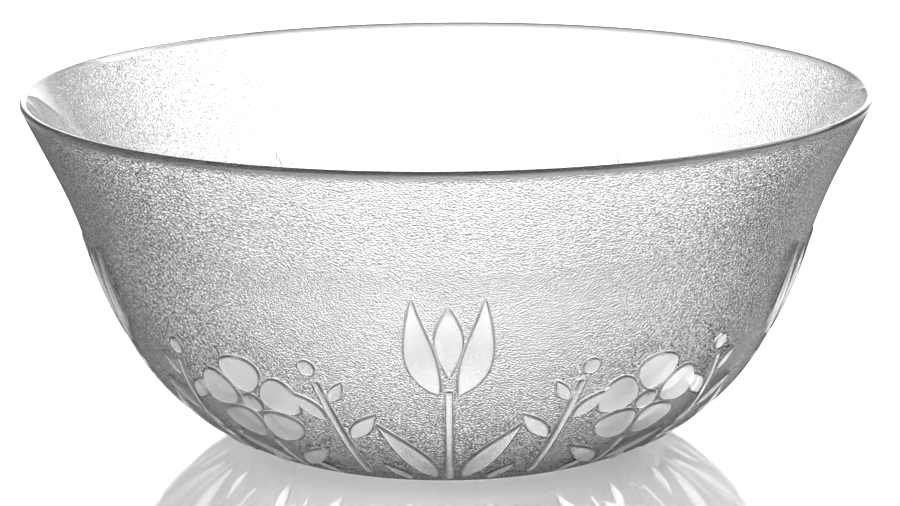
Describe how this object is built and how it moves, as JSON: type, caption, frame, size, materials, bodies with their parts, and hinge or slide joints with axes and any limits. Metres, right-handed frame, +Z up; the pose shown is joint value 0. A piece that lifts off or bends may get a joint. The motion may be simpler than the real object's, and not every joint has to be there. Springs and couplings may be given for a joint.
{
  "type": "serving bowl",
  "caption": "Wide round bowl of clear pressed glass with a flared rim, a stippled outer side and raised flowers and leaves, for serving food.",
  "frame": {"origin": "on the table under the bowl's centre", "axes": "+Z up through the open rim, -Y towards the camera"},
  "size_m": [0.23, 0.23, 0.0955],
  "materials": {
    "glass": "clear, polished inside, stippled outside with smooth raised motifs"
  },
  "bodies": {
    "root": {"bowl": "glass"}
  },
  "joints": []
}
